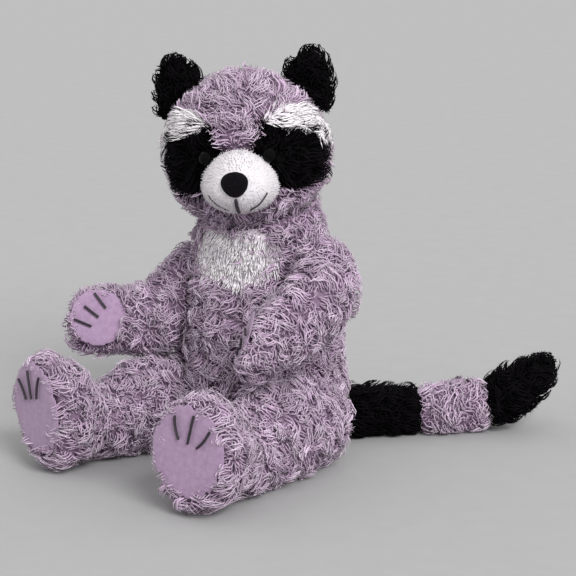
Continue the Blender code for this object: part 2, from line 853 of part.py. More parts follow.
def build_face(shape):
    """Muzzle trimmings, masks, brows and eyes; shape holds the plain head and muzzle."""
    head_tree = shape["head_tree"]
    muzzle_tree = shape["muzzle_tree"]
    middle = in_head(0, MUZZLE_MIDDLE, -MUZZLE_DROP)

    def seen_from(turn, rise):
        way = head_way(turn, rise)
        return middle + way * SEARCH, -way

    drop = [seen_from(0, rise) for rise in np.linspace(MOUTH_TOP, MOUTH_BOTTOM, 7)]
    add_object("mouth_line", thread(muzzle_tree, drop), "black_thread")
    for word, hand in HANDS.items():
        turns = np.linspace(SMILE_INNER_TURN, SMILE_OUTER_TURN, 7)
        rises = np.linspace(SMILE_INNER_RISE, SMILE_OUTER_RISE, 7)
        curl = [seen_from(hand * turn, rise) for turn, rise in zip(turns, rises)]
        smile = thread(muzzle_tree, curl, SMILE_RADIUS)
        add_object("smile_stitch_" + word, smile, "black_thread")
    nose = add_object("nose", nose_form(muzzle_tree), "black_velvet")
    cut(nose, [grown(shape["muzzle"], GAP)])

    for word, hand in HANDS.items():
        eye = shape["eye", word]
        mask = shape["mask", word]
        brow = shape["brow", word]
        mask_space = grown(mask, GAP)
        outward = comb_along(head_way(hand * math.radians(100), math.radians(-10)))
        near = [muzzle_tree, tree_of(brow), tree_of(eye)]
        raise_top(mask, SHORT_PILE, outward, near, head_tree)
        near = [tree_of(mask_space), tree_of(shape["ear", word])]
        raise_top(brow, SHORT_PILE, outward, near, head_tree)
        spaces = [shape["head_space"].copy(), grown(shape["muzzle"], 2 * GAP)]
        spaces.append(eye_clearing(*shape["seat", word]))
        cut(add_object("eye_patch_" + word, mask, "black_pile"), spaces)
        spaces = [shape["head_space"].copy(), mask_space, grown(shape["ear", word], GAP)]
        cut(add_object("brow_patch_" + word, brow, "white_pile"), spaces)
        spot, axis = shape["seat", word]
        add_object("eye_washer_" + word, washer_form(spot, axis), "washer_plastic")
        add_object("eye_" + word, eye, "eye_gloss")


def raise_top(pad, height, comb, neighbours, ground):
    """Raises pile only from the faces of an inset that look away from the cloth under it."""

    def under(middle):
        return ground.find_nearest(middle)[3] < GAP + PATCH_DEPTH * 0.55

    raise_pile(pad, height, comb, neighbours, bare=under)


def face_shapes(head):
    """The plain head, muzzle, insets and eyes, and the search trees on them."""
    shape = {"head": head, "head_tree": tree_of(head), "muzzle": muzzle_form()}
    shape["muzzle_tree"] = tree_of(shape["muzzle"])
    for word, hand in HANDS.items():
        spot, axis = eye_axis(shape["head_tree"], hand)
        shape["seat", word] = (spot, axis)
        shape["eye", word] = eye_form(spot, axis)
        mask = (MASK_TURN, MASK_RISE, MASK_HALF_TURN, MASK_HALF_RISE, MASK_SLANT, 0)
        shape["mask", word] = face_inset(shape["head_tree"], hand, *mask, 18, 4)
        brow = (BROW_TURN, BROW_RISE, BROW_HALF_TURN, BROW_HALF_RISE, BROW_SLANT, BROW_BOW)
        shape["brow", word] = face_inset(shape["head_tree"], hand, *brow, 18, 2)
        shape["ear", word] = ear_form(hand)
    return shape


def build_arm(word, arm, path, facing, near, torso_space):
    """The arm with its palm pad and three finger stitches."""
    arm_tree = tree_of(arm)
    finger = path[3] - path[2]
    finger = (finger - facing * finger.dot(facing)).normalized()
    across = facing.cross(finger)
    middle = path[2] + facing * PAW_HALF_THICKNESS * PALM_LEVEL
    palm = pad_form(middle, facing, finger * PALM_RADIUS, across * PALM_RADIUS)
    wide = PALM_RADIUS + GAP
    room = pad_form(middle - facing * GAP, facing, finger * wide, across * wide, reach=PALM_ROOM)
    palm_tree = tree_of(palm)
    turned = Matrix.Rotation(-HANDS[word] * PAW_TWIST, 3, facing)
    toward = turned @ finger
    over = turned @ across
    for number, shift in enumerate((-1, 0, 1), 1):
        first = over * shift * FINGER_INNER
        last = over * shift * FINGER_OUTER + toward * FINGER_LENGTH
        stitch(f"palm_stitch_{word}_{number}", palm_tree, middle, facing, first, last)
    way = (path[2] - path[0]).normalized()
    raise_pile(arm, LIMB_PILE, comb_along(way), [palm_tree, *near])
    cut(add_object("arm_" + word, arm, "grey_pile"), [torso_space, room])
    add_object("palm_pad_" + word, palm, "mauve_suede")


def build_leg(word, leg, hip, sole, near, torso_space):
    """The leg with its sole pad and three toe stitches."""
    ahead, side, up = leg_axes(hip, sole, HANDS[word])
    across = side * SOLE_PAD_SHARE * SOLE_HALF_WIDTH
    over = up * (SOLE_PAD_SHARE * SOLE_HALF_HEIGHT - SOLE_PAD_INSET)
    middle = sole + UP * SOLE_PAD_RISE
    pad = pad_form(middle + ahead * GAP, ahead, across, over)
    pad_tree = tree_of(pad)
    for number, shift in enumerate((-1, 0, 1), 1):
        first = side * shift * TOE_INNER + up * TOE_START
        last = side * shift * TOE_OUTER + up * (TOE_END - abs(shift) * TOE_STEP)
        name = f"toe_stitch_{word}_{number}"
        stitch(name, pad_tree, middle, ahead, first, last, TOE_BEND * shift)
    raise_pile(leg, PILE, comb_along(ahead - UP * 0.5), [pad_tree, *near])
    cut(add_object("leg_" + word, leg, "grey_pile"), [torso_space])
    add_object("sole_pad_" + word, pad, "mauve_suede")


def build_tail(bands, near, torso_space):
    trees = {name: tree_of(mesh) for name, mesh in bands.items()}
    way = (TAIL_TIP - TAIL_ROOT).normalized()
    for name, band in bands.items():
        others = [tree for other, tree in trees.items() if other != name]
        raise_pile(band, TAIL_PILE, comb_along(way), [*near, *others])
        colour = "black_pile" if name.endswith("black") else "grey_pile"
        made = add_object(name, band, colour)
        if name == "tail_base_black":
            cut(made, [torso_space])


def paint_all():
    paint("grey_pile", (0.30, 0.215, 0.30), 0.95)
    paint("white_pile", (0.80, 0.76, 0.80), 0.95)
    paint("black_pile", (0.012, 0.010, 0.014), 0.9)
    paint("white_velour", (0.86, 0.83, 0.85), 0.9)
    paint("mauve_suede", (0.33, 0.24, 0.36), 0.85)
    paint("black_thread", (0.015, 0.011, 0.016), 0.6)
    paint("black_velvet", (0.012, 0.009, 0.014), 0.8)
    paint("eye_gloss", (0.006, 0.006, 0.008), 0.05)
    paint("washer_plastic", (0.75, 0.75, 0.74), 0.4)


def main():
    clear_scene()
    paint_all()

    # Plain shapes, before any pile is raised
    torso = torso_form()
    torso_tree = tree_of(torso)
    shape = face_shapes(head_form())
    bib = bib_form(torso_tree)
    facings = {"left": mirrored(RIGHT_PALM_FACING).normalized()}
    facings["right"] = RIGHT_PALM_FACING.normalized()
    paths = {
        "left": [LEFT_SHOULDER, LEFT_ELBOW, LEFT_PAW, LEFT_PAW_TIP],
        "right": [RIGHT_SHOULDER, RIGHT_ELBOW, RIGHT_PAW, RIGHT_PAW_TIP],
    }
    hips = {"left": HIP, "right": mirrored(HIP)}
    soles = {"left": LEFT_SOLE, "right": RIGHT_SOLE}
    arms = {word: arm_form(paths[word], facings[word]) for word in HANDS}
    legs = {word: leg_form(hips[word], soles[word], HANDS[word]) for word in HANDS}
    limbs = {("arm", word): tree_of(arms[word]) for word in HANDS}
    limbs.update({("leg", word): tree_of(legs[word]) for word in HANDS})
    seam = 0.5 * GAP / TAIL_LENGTH
    bands = {
        "tail_base_black": tail_form(TAIL_START, TAIL_BASE_END - seam),
        "tail_middle_grey": tail_form(TAIL_BASE_END + seam, TAIL_MIDDLE_END - seam),
        "tail_tip_black": tail_form(TAIL_MIDDLE_END + seam, 1),
    }

    # Torso and head take their pile first, and everything sewn to them is cut to fit
    face_trees = [tree_of(mesh) for key, mesh in shape.items() if key[0] in ("mask", "brow", "ear")]
    sewn_on = [*limbs.values(), *(tree_of(band) for band in bands.values())]
    bib_tree = tree_of(bib)
    head_near = [shape["muzzle_tree"], torso_tree, bib_tree, *face_trees, *limbs.values()]
    raise_pile(torso, PILE, comb_down, [shape["head_tree"], bib_tree, *sewn_on])
    raise_pile(shape["head"], PILE, comb_head, head_near)
    torso_space = grown(torso, GAP)
    shape["head_space"] = grown(shape["head"], GAP)

    brow_trees = {word: tree_of(shape["brow", word]) for word in HANDS}
    eye_spaces = [grown(shape["eye", word], GAP) for word in HANDS]
    build_face(shape)
    for word in HANDS:
        near = [tree for key, tree in limbs.items() if key != ("arm", word)]
        near += [torso_tree, shape["head_tree"], bib_tree]
        build_arm(word, arms[word], paths[word], facings[word], near, torso_space.copy())
        near = [tree for key, tree in limbs.items() if key != ("leg", word)]
        near += [torso_tree]
        build_leg(word, legs[word], hips[word], soles[word], near, torso_space.copy())
        ear = shape["ear", word]
        raise_pile(ear, SHORT_PILE, comb_up, [shape["head_tree"], brow_trees[word]])
        cut(add_object("ear_" + word, ear, "black_pile"), [shape["head_space"].copy()])
    build_tail(bands, [torso_tree, *limbs.values()], torso_space.copy())

    near = [shape["head_tree"], shape["muzzle_tree"], *limbs.values()]
    raise_top(bib, SHORT_PILE, comb_down, near, torso_tree)
    spaces = [torso_space.copy(), shape["head_space"].copy()]
    cut(add_object("chest_bib", bib, "white_pile"), spaces)
    cut(add_object("torso", torso, "grey_pile"), [shape["head_space"].copy()])
    spaces = [shape["head_space"].copy(), *eye_spaces]
    cut(add_object("muzzle", shape["muzzle"], "white_velour"), spaces)
    pockets = [eye_pocket(*shape["seat", word]) for word in HANDS]
    cut(add_object("head", shape["head"], "grey_pile"), pockets)


main()
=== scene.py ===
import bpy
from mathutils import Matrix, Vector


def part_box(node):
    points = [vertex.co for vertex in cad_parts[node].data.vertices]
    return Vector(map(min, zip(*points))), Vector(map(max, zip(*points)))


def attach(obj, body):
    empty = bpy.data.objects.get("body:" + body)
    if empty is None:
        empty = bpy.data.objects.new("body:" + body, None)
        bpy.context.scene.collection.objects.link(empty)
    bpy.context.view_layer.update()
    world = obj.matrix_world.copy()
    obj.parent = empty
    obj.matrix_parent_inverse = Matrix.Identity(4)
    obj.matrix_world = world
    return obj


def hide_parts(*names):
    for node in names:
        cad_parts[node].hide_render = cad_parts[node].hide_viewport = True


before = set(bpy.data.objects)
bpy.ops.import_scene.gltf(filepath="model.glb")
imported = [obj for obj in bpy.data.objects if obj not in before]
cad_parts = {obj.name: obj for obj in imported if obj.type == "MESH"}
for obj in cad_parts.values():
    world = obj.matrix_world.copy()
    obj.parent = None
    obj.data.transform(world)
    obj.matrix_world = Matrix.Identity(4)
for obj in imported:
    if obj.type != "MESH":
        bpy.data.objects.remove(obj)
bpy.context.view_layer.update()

import copy
import math

import bmesh
import bpy
import numpy as np
from mathutils import Matrix, Vector, kdtree, noise
from mathutils.bvhtree import BVHTree

MM = 0.001
WELD = 0.01 * MM
FLOOR_CLEARANCE = 0.3 * MM
MAP_NAME = "OFBake"
STRAND = "strand"
HANDS = ("left", "right")

# Camera: the photograph's viewing angle, and the millimetres that one of its pixels spans at the toy
CAMERA_AZIMUTH = math.radians(40)
CAMERA_ELEVATION = math.radians(13.5)
CAMERA_DISTANCE = 1.4
CAMERA_TARGET = Vector((-3.76, 27.74, 98.6)) * MM
PIXEL = 0.65 * MM
IMAGE_PIXELS = 576
SENSOR = 36

# Light: plain soft studio light
WORLD_LEVEL = 0.77
KEY_LEVEL = 2.3
KEY_AZIMUTH = math.radians(66)
KEY_ELEVATION = math.radians(36)
KEY_SPREAD = math.radians(28)
FLOOR_COLOUR = (0.435, 0.435, 0.435)
FLOOR_RADIUS = 9.0

# Strand form: each ring has three corners, and a strand ends in a tip
SIDES = 3
ROOT_SINK = 0.6 * MM
FLATNESS = 0.7
ROOT_THICKNESS = 0.72
BELLY_THICKNESS = 0.5
BELLY_PLACE = 0.8
TIP_THINNING = 0.55
SIDE_HINT = np.array((0.13, 0.21, 0.97))
FOOT_SHARE = 0.08
CELL_MARGIN = 0.05

# How much whole locks differ, and the strands within a lock
LOCK_LENGTHS = 0.14
LOCK_LIFTS = (-0.3, 0.25)
STRAND_LENGTHS = 0.09
STRAND_LIFTS = (-0.12, 0.1)
STRAND_BENDS = 0.12
STRAND_PHASES = 0.2
STRAND_TURNS = 0.06
STRAND_RADII = (0.75, 1.25)
RIPPLE_PHASE = 1.7
CLUMP_POWER = 1.1

# A strand that meets a piece it keeps off creeps this far a step, and rises by this share of a step
HELD_STEP = 0.1 * MM
HELD_RISE = 0.12

# The short dense pile, as shares of the curls above it
UNDER_LIFT = 0.92
UNDER_CLUMP = 0.3
# The short pile's tips go only this share of the way toward the painted highlight
UNDER_PALENESS = 0.85

# Spots scattered per square of the spacing, before they are thinned
SCATTER = 4.5

# Each kind of random draw on a piece has a seed of its own
UNDER_SEED = 500
SPOT_SEED = 100

# Smooth noise: where each seed begins, and a gain that brings it to about -1 to 1
DRIFT_STARTS = (7.3, 3.1, 5.7)
DRIFT_GAIN = 1.6

# A spot of cloth grows no pile where the neighbour already lies this close above it
COVERED_ABOVE = 1.2 * MM

# Heights over the cloth at which a pad, an eye or the muzzle is looked for
BARE_PROBES = (1.5 * MM, 3 * MM, 4.5 * MM, 6 * MM)

# Height over the cloth at which a patch is looked for, and how far its cloth runs past its pile
PATCH_PROBE = 5.5 * MM
PATCH_MARGIN = 1.5 * MM
PATCH_THICKNESS = 0.5 * MM


def centre_of(name):
    low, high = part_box(name)
    return np.array((low + high) / 2)


def unit(vectors):
    vectors = np.asarray(vectors, float)
    length = np.linalg.norm(vectors, axis=-1, keepdims=True)
    return vectors / np.maximum(length, 1e-12)


def flattened(vectors, normals):
    """The directions laid down in the planes across the normals."""
    across = (vectors * normals).sum(-1, keepdims=True)
    return unit(vectors - normals * across)


def turned(vectors, axes, angles):
    """The vectors, which lie across their axes, turned about them."""
    angles = np.asarray(angles)[:, None]
    return vectors * np.cos(angles) + np.cross(axes, vectors) * np.sin(angles)


def eased(values, low, high):
    t = np.clip((values - low) / (high - low), 0, 1)
    return t * t * (3 - 2 * t)


def drift(points, scale, seed):
    """A smooth random number from about -1 to 1 at each point."""
    shift = Vector([seed * start for start in DRIFT_STARTS])
    return np.array([noise.noise(Vector(p) / scale + shift) for p in points.tolist()]) * DRIFT_GAIN


# Materials


def shader_nodes(name):
    material = bpy.data.materials.new(name)
    material.use_nodes = True
    tree = material.node_tree
    return material, tree, tree.nodes["Principled BSDF"]


def node(tree, kind, links=(), **settings):
    """A shader node with its settings, and its inputs by name linked or set."""
    made = tree.nodes.new(kind)
    for key, value in settings.items():
        setattr(made, key, value)
    for key, value in dict(links).items():
        if isinstance(value, bpy.types.NodeSocket):
            tree.links.new(value, made.inputs[key])
        else:
            made.inputs[key].default_value = value
    return made


def ramp(tree, source, stops):
    made = node(tree, "ShaderNodeValToRGB", {"Fac": source})
    points = made.color_ramp.elements
    while len(points) < len(stops):
        points.new(1)
    for point, (place, colour) in zip(points, stops):
        point.position = place
        point.color = (*colour, 1)
    return made.outputs["Color"]


def spread_value(tree, source, low, high):
    """The source, from 0 to 1, spread over a range."""
    made = node(tree, "ShaderNodeMapRange", {"Value": source, "To Min": low, "To Max": high})
    return made.outputs["Result"]


def scaled_colour(tree, colour, factor):
    made = node(tree, "ShaderNodeVectorMath", {0: colour, "Scale": factor}, operation="SCALE")
    return made.outputs["Vector"]


def noise_value(tree, scale, detail=2.0, roughness=0.5):
    place = node(tree, "ShaderNodeTexCoord").outputs["Object"]
    links = {"Vector": place, "Scale": scale, "Detail": detail, "Roughness": roughness}
    return node(tree, "ShaderNodeTexNoise", links).outputs["Fac"]


def pile_material(name, root, middle, tip, sheen=0.2, mottle=0.25, shine=0.2):
    """Pile with painted shade at its dark root and a painted highlight at its pale tip; strands and
    tufts differ.
    """
    material, tree, shader = shader_nodes(name)
    strand = node(tree, "ShaderNodeAttribute", attribute_name=STRAND)
    parts = node(tree, "ShaderNodeSeparateColor", {"Color": strand.outputs["Color"]})
    # Along each strand: painted shade at the root, a painted highlight at the tip
    colour = ramp(tree, parts.outputs["Red"], ((0.0, root), (0.5, middle), (1.0, tip)))
    each = spread_value(tree, parts.outputs["Green"], 1 - mottle / 2, 1 + mottle / 2)
    tuft = spread_value(tree, parts.outputs["Blue"], 1 - mottle, 1 + mottle)
    colour = scaled_colour(tree, scaled_colour(tree, colour, each), tuft)
    tree.links.new(colour, shader.inputs["Base Color"])
    rough = spread_value(tree, noise_value(tree, 900), 0.55, 0.8)
    tree.links.new(rough, shader.inputs["Roughness"])
    links = {"Height": noise_value(tree, 2400), "Strength": 0.25, "Distance": 0.3 * MM}
    tree.links.new(node(tree, "ShaderNodeBump", links).outputs["Normal"], shader.inputs["Normal"])
    shader.inputs["Specular IOR Level"].default_value = shine
    shader.inputs["Sheen Weight"].default_value = sheen
    shader.inputs["Sheen Roughness"].default_value = 0.45
    return material


def cloth_material(name, colour, darker_tone, scale, bump_depth, sheen=0.3, roughness=(0.75, 0.95)):
    """Short napped cloth: two tones that mottle, a fine nap, and a soft sheen."""
    material, tree, shader = shader_nodes(name)
    tone = ramp(tree, noise_value(tree, scale, 4, 0.6), ((0.32, darker_tone), (0.68, colour)))
    tree.links.new(tone, shader.inputs["Base Color"])
    rough = spread_value(tree, noise_value(tree, scale * 3), *roughness)
    tree.links.new(rough, shader.inputs["Roughness"])
    links = {"Height": noise_value(tree, scale * 9, 3, 0.7), "Strength": 0.5, "Distance": bump_depth}
    tree.links.new(node(tree, "ShaderNodeBump", links).outputs["Normal"], shader.inputs["Normal"])
    shader.inputs["Specular IOR Level"].default_value = 0.08
    shader.inputs["Sheen Weight"].default_value = sheen
    shader.inputs["Sheen Roughness"].default_value = 0.5
    return material


def thread_material(name, colour):
    """Embroidery thread: fine twisted strands, with a painted highlight that makes the raised twist
    paler.
    """
    material, tree, shader = shader_nodes(name)
    place = node(tree, "ShaderNodeTexCoord").outputs["Object"]
    links = {"Vector": place, "Scale": 700, "Distortion": 2.0}
    twist = node(tree, "ShaderNodeTexWave", links, bands_direction="DIAGONAL").outputs["Fac"]
    # Painted highlight: paler where the twist stands highest
    tone = ramp(tree, twist, ((0.2, colour), (0.9, tuple(2.2 * c for c in colour))))
    tree.links.new(tone, shader.inputs["Base Color"])
    links = {"Height": twist, "Strength": 0.6, "Distance": 0.2 * MM}
    tree.links.new(node(tree, "ShaderNodeBump", links).outputs["Normal"], shader.inputs["Normal"])
    shader.inputs["Roughness"].default_value = 0.5
    return material


def gloss_material(name, colour):
    """Polished moulding with faint haze and handling marks."""
    material, tree, shader = shader_nodes(name)
    tone = ramp(tree, noise_value(tree, 500), ((0.3, colour), (0.7, tuple(1.6 * c for c in colour))))
    tree.links.new(tone, shader.inputs["Base Color"])
    rough = spread_value(tree, noise_value(tree, 350), 0.03, 0.09)
    tree.links.new(rough, shader.inputs["Roughness"])
    shader.inputs["Specular IOR Level"].default_value = 0.08
    return material


# Pile finishes run from painted shade at the root to a painted highlight at the tip; cloth ones mottle
# at random in two tones
MATERIALS = {
    "grey_pile": pile_material(
        "grey_pile", (0.40, 0.27, 0.40), (0.55, 0.41, 0.55), (0.74, 0.635, 0.74), mottle=0.22
    ),
    "white_pile": pile_material(
        "white_pile", (0.90, 0.84, 0.89), (0.94, 0.90, 0.93), (0.96, 0.93, 0.95), mottle=0.03
    ),
    "black_pile": pile_material(
        "black_pile",
        (0.001, 0.001, 0.001),
        (0.003, 0.002, 0.003),
        (0.007, 0.005, 0.008),
        sheen=0,
        mottle=0.2,
        shine=0.06,
    ),
    # Painted shade: the muzzle's nap and velour are a greyer copy of the white pile, set darker against
    # the strong light there
    "white_nap": pile_material(
        "white_nap", (0.75, 0.70, 0.74), (0.80, 0.765, 0.79), (0.83, 0.81, 0.825), mottle=0.03
    ),
    "white_velour": cloth_material(
        "white_velour", (0.82, 0.79, 0.815), (0.76, 0.71, 0.75), 260, 0.35 * MM
    ),
    "mauve_suede": cloth_material(
        "mauve_suede", (0.43, 0.30, 0.445), (0.35, 0.235, 0.36), 340, 0.3 * MM
    ),
    "black_velvet": cloth_material(
        "black_velvet", (0.005, 0.004, 0.006), (0.002, 0.001, 0.002), 600, 0.5 * MM, sheen=0.03
    ),
    "washer_plastic": cloth_material(
        "washer_plastic",
        (0.75, 0.75, 0.74),
        (0.68, 0.68, 0.67),
        200,
        0.1 * MM,
        sheen=0,
        roughness=(0.4, 0.55),
    ),
    "black_thread": thread_material("black_thread", (0.012, 0.009, 0.013)),
    "eye_gloss": gloss_material("eye_gloss", (0.001, 0.001, 0.001)),
}

# The woven cloth under the pile of each colour, darker than the pile as painted shade deep in the pile
BACKING = {
    slot: cloth_material(slot.replace("pile", "backing"), colour, darker_tone, 420, 0.3 * MM, sheen=0)
    for slot, colour, darker_tone in (
        ("grey_pile", (0.26, 0.18, 0.26), (0.20, 0.135, 0.20)),
        ("white_pile", (0.80, 0.74, 0.79), (0.70, 0.63, 0.69)),
        ("black_pile", (0.003, 0.002, 0.003), (0.001, 0.001, 0.001)),
    )
}


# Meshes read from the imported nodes, and the smooth cloth forms made from them


def add_piece(name, mesh, material, replaced=()):
    piece = bpy.data.objects.new(name, mesh)
    bpy.context.scene.collection.objects.link(piece)
    mesh.materials.clear()
    mesh.materials.append(material)
    mesh.shade_smooth()
    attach(piece, "root")
    if replaced:
        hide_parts(*replaced)
    return piece


def packed_body(name):
    """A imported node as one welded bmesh."""
    body = bmesh.new()
    body.from_mesh(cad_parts[name].data)
    bmesh.ops.remove_doubles(body, verts=body.verts, dist=WELD)
    return body


def smoothed_mesh(name, voxel, rounds, sink=0.0):
    """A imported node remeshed, smoothed, and drawn in along its normals."""
    source = bpy.data.meshes.new(name + "_source")
    body = packed_body(name)
    body.to_mesh(source)
    body.free()
    holder = bpy.data.objects.new(name + "_holder", source)
    bpy.context.scene.collection.objects.link(holder)
    remesh = holder.modifiers.new("remesh", "REMESH")
    remesh.mode = "VOXEL"
    remesh.voxel_size = voxel
    ironing = holder.modifiers.new("ironing", "SMOOTH")
    ironing.factor = 0.5
    ironing.iterations = rounds
    if sink:
        drawing_in = holder.modifiers.new("drawing_in", "DISPLACE")
        drawing_in.strength = -sink
        drawing_in.mid_level = 0
    graph = bpy.context.evaluated_depsgraph_get()
    mesh = bpy.data.meshes.new_from_object(holder.evaluated_get(graph))
    bpy.data.objects.remove(holder)
    return mesh


def tree_of_mesh(mesh):
    body = bmesh.new()
    body.from_mesh(mesh)
    bmesh.ops.triangulate(body, faces=body.faces)
    tree = BVHTree.FromBMesh(body)
    body.free()
    return tree


PACKED_TREES = {}


def packed_tree(name):
    if name not in PACKED_TREES:
        body = packed_body(name)
        PACKED_TREES[name] = BVHTree.FromBMesh(body)
        body.free()
    return PACKED_TREES[name]


def triangles_of(mesh):
    mesh.calc_loop_triangles()
    points = np.empty(len(mesh.vertices) * 3)
    mesh.vertices.foreach_get("co", points)
    corners = np.empty(len(mesh.loop_triangles) * 3, np.int32)
    mesh.loop_triangles.foreach_get("vertices", corners)
    return points.reshape(-1, 3)[corners.reshape(-1, 3)]


def in_or_near(points, name, reach):
    """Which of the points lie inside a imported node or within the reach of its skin."""
    low, high = (np.array(corner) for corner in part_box(name))
    boxed = np.all((points > low - reach) & (points < high + reach), axis=1)
    found = np.zeros(len(points), bool)
    tree = packed_tree(name)
    for i in np.flatnonzero(boxed):
        point = Vector(points[i])
        spot, normal, _, distance = tree.find_nearest(point)
        found[i] = distance < reach or (point - spot).dot(normal) < 0
    return found


# Strands of pile


def spots_on(tree, points):
    """The nearest spots on the cloth, and its normals there."""
    spots = np.empty_like(points)
    normals = np.empty_like(points)
    for i, point in enumerate(points.tolist()):
        spot, normal, _, _ = tree.find_nearest(point)
        spots[i] = spot
        normals[i] = normal
    return spots, normals


def scattered(mesh, spacing, dice):
    """Random spots over a mesh, far more than will be kept, with the normals there."""
    corners = triangles_of(mesh)
    crossed = np.cross(corners[:, 1] - corners[:, 0], corners[:, 2] - corners[:, 0])
    areas = np.linalg.norm(crossed, axis=1) / 2
    count = int(SCATTER * areas.sum() / spacing**2)
    chosen = dice.choice(len(areas), count, p=areas / areas.sum())
    a, b = dice.random((2, count))
    over = a + b > 1
    a[over], b[over] = 1 - a[over], 1 - b[over]
    first, second, third = (corners[chosen, k] for k in range(3))
    points = first + (second - first) * a[:, None] + (third - first) * b[:, None]
    return points, unit(crossed[chosen])


def thinned(points, spacing):
    """The indexes of points that keep at least the spacing from each other."""
    cells = {}
    kept = []
    steps = [(i, j, k) for i in (-1, 0, 1) for j in (-1, 0, 1) for k in (-1, 0, 1)]
    for index, point in enumerate(points.tolist()):
        x, y, z = (math.floor(c / spacing) for c in point)
        near = (q for i, j, k in steps for q in cells.get((x + i, y + j, z + k), ()))
        if all(math.dist(point, q) >= spacing for q in near):
            cells.setdefault((x, y, z), []).append(point)
            kept.append(index)
    return np.array(kept, int)


def nearest_of(points, others):
    tree = kdtree.KDTree(len(others))
    for i, point in enumerate(others.tolist()):
        tree.insert(point, i)
    tree.balance()
    return np.array([tree.find(point)[1] for point in points.tolist()])


def strand_lines(coat, tree, roots, normals, guides, lock, dice):
    """Points along each strand, which curls over the cloth and draws in to its lock's guide."""
    count = len(roots)
    rings = coat.rings
    heading = flattened(coat.comb(roots, normals), normals)
    tufts = len(guides)
    swirl = drift(roots[guides], coat.swirl_size, coat.seed)
    turn = (coat.swirl * swirl + dice.normal(0, coat.stray, tufts))[lock]
    bend = dice.normal(0, coat.bend, tufts)[lock] + dice.normal(0, STRAND_BENDS, count)
    phase = (dice.random(tufts) * math.tau)[lock] + dice.normal(0, STRAND_PHASES, count)
    length = coat.length * dice.normal(1, LOCK_LENGTHS, tufts)[lock]
    length *= dice.normal(1, STRAND_LENGTHS, count)
    uneven = 1 + coat.unevenness * dice.uniform(*LOCK_LIFTS, tufts)[lock]
    lift = coat.lift * uneven * (1 + coat.unevenness * dice.uniform(*STRAND_LIFTS, count))
    heading = turned(heading, normals, turn + dice.normal(0, STRAND_TURNS, count))
    spots, ups = roots.copy(), normals.copy()
    held = np.zeros(count)
    lines = [roots - normals * ROOT_SINK]
    for step in range(1, rings + 1):
        t = step / rings
        wave = coat.curl * math.tau * coat.waves / rings * np.cos(math.tau * coat.waves * t + phase)
        heading = turned(heading, ups, bend / rings + wave)
        ahead = spots + heading * (length / rings)[:, None]
        blocked = np.zeros(count, bool)
        for name in coat.keep_off:
            blocked |= in_or_near(ahead + ups * lift[:, None] / 2, name, coat.clearance)
        held[blocked] += 1
        ahead[blocked] = spots[blocked] + heading[blocked] * HELD_STEP
        spots, ups = spots_on(tree, ahead)
        heading = flattened(heading, ups)
        rise = lift * (1 - (1 - t) ** coat.rise) + held * coat.length / rings * HELD_RISE
        ripple = coat.ripple * np.sin(math.tau * coat.waves * t + phase * RIPPLE_PHASE) * t
        lines.append(spots + ups * (rise + ripple)[:, None])
    lines = np.stack(lines, axis=1)
    outward = np.linspace(0, 1, rings + 1)
    drawn = lines[guides][lock] - lines
    lines += drawn * (coat.clump * outward**CLUMP_POWER)[None, :, None]
    frizz = dice.normal(0, 1, (count, rings + 1, 3)) * coat.frizz
    lines += frizz * outward[None, :, None]
    lines[:, :, 2] = np.maximum(lines[:, :, 2], FLOOR_CLEARANCE + coat.radius)
    return lines


def strand_faces(rings):
    """The triangles of one strand, and where each corner lies in the strand's cell of the map."""
    faces = [(2, 1, 0)]
    spots = [((0.1, 0), (0.5, 0), (0.3, FOOT_SHARE * 0.6))]
    for ring in range(rings):
        low = FOOT_SHARE + (1 - FOOT_SHARE) * ring / rings
        high = FOOT_SHARE + (1 - FOOT_SHARE) * (ring + 1) / rings
        for side in range(SIDES):
            a, b = SIDES * ring + side, SIDES * ring + (side + 1) % SIDES
            left, right = side / SIDES, (side + 1) / SIDES
            if ring == rings - 1:
                faces.append((a, b, SIDES * rings))
                spots.append(((left, low), (right, low), ((left + right) / 2, high)))
                continue
            faces.append((a, b, b + SIDES))
            spots.append(((left, low), (right, low), (right, high)))
            faces.append((a, b + SIDES, a + SIDES))
            spots.append(((left, low), (right, high), (left, high)))
    return np.array(faces), np.array(spots)


def strand_block(coat, lines, lock, dice):
    """Corners, faces, map spots and shades of a closed tapering strand along each line."""
    count = len(lines)
    rings = coat.rings
    along = unit(np.gradient(lines, axis=1))
    side = unit(np.cross(along, np.roll(along, 1, axis=1) + SIDE_HINT))
    top = np.cross(side, along)
    t = np.linspace(0, 1, rings + 1)[:rings]
    swelling = ROOT_THICKNESS + BELLY_THICKNESS * np.sin(math.pi * t**BELLY_PLACE)
    taper = swelling * (1 - TIP_THINNING * t)
    radius = coat.radius * taper[None, :] * dice.uniform(*STRAND_RADII, count)[:, None]
    corners = np.empty((count, SIDES * rings + 1, 3))
    for k in range(SIDES):
        angle = math.tau * k / SIDES + math.pi / 2
        across = side[:, :rings] * math.cos(angle) + top[:, :rings] * (FLATNESS * math.sin(angle))
        corners[:, k : SIDES * rings : SIDES] = lines[:, :rings] + across * radius[:, :, None]
    corners[:, -1] = lines[:, -1]
    faces, spots = strand_faces(rings)
    shade = np.ones((count, SIDES * rings + 1, 4))
    # Red: the place along the strand, which the finish turns from painted shade at the root to a painted
    # highlight at the tip
    shade[:, :-1, 0] = np.repeat(t, SIDES)[None, :] * coat.paleness
    shade[:, -1, 0] = coat.paleness
    shade[:, :, 1] = dice.random(count)[:, None]
    shade[:, :, 2] = dice.random(lock.max() + 1)[lock][:, None]
    return corners, faces, spots, shade


